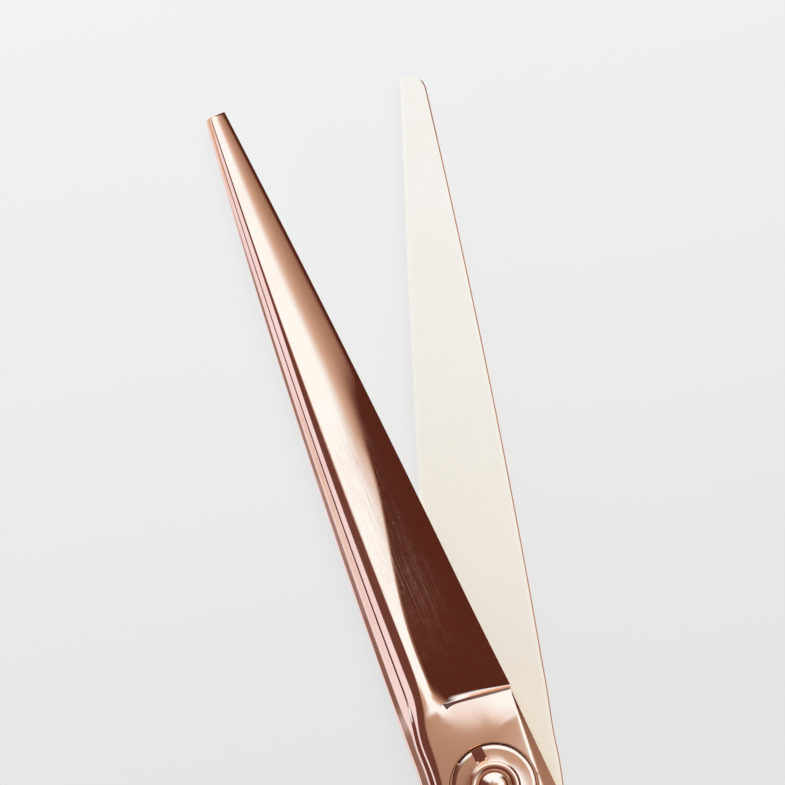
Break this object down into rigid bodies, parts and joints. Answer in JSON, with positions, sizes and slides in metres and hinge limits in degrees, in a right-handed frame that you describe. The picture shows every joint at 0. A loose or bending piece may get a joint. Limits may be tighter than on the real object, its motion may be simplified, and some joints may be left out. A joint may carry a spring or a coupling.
{
  "type": "hair cutting shears",
  "caption": "Hair cutting shears with long convex blades, a slotted tension dial over a ball-bearing pivot, offset finger rings, a bumper and a finger rest.",
  "frame": {"origin": "on the pivot axis, at the flat back of the pivot bolt's head, which lies on the table", "axes": "+Z along the pivot axis towards the tension dial, +Y midway between the two open blade tips, +X to the thumb ring's side"},
  "size_m": [0.0813, 0.159, 0.0074],
  "materials": {
    "rose_gold_polished": "mirror polished, rose-gold coated steel",
    "ground_steel": "ground",
    "bronze": "stamped, satin",
    "low_friction_polymer": "moulded, matt",
    "soft_insert": "moulded, matt"
  },
  "bodies": {
    "finger_half": {"finger_blade": "rose_gold_polished", "finger_ring_insert": "soft_insert", "finger_rest": "rose_gold_polished", "bumper_ferrule": "ground_steel", "bumper_pad": "soft_insert", "pivot_bolt": "rose_gold_polished", "race_lower": "ground_steel", "wave_spring": "ground_steel", "click_washer": "bronze"},
    "thumb_half": {"thumb_blade": "rose_gold_polished", "thumb_ring_insert": "soft_insert", "pivot_bush": "low_friction_polymer", "race_upper": "ground_steel"},
    "bearing": {"ball_cage": "bronze", "bearing_ball_1": "ground_steel", "bearing_ball_2": "ground_steel", "bearing_ball_3": "ground_steel", "bearing_ball_4": "ground_steel", "bearing_ball_5": "ground_steel", "bearing_ball_6": "ground_steel", "bearing_ball_7": "ground_steel", "bearing_ball_8": "ground_steel"},
    "dial": {"tension_dial": "rose_gold_polished"}
  },
  "joints": [
    {"name": "blade_pivot", "type": "hinge", "parent": "finger_half", "child": "thumb_half", "pos_m": [0, 0, 0], "axis": [0, 0, 1], "range_deg": [-15.5, 45]},
    {"name": "bearing_roll", "type": "hinge", "parent": "finger_half", "child": "bearing", "pos_m": [0, 0, 0], "axis": [0, 0, 1], "range_deg": [-8, 23]},
    {"name": "dial_turn", "type": "hinge", "parent": "finger_half", "child": "dial", "pos_m": [0, 0, 0], "axis": [0, 0, 1], "range_deg": [-90, 90]}
  ],
  "couplings": [
    {"joint": "bearing_roll", "follows": "blade_pivot", "ratio": 0.5}
  ]
}
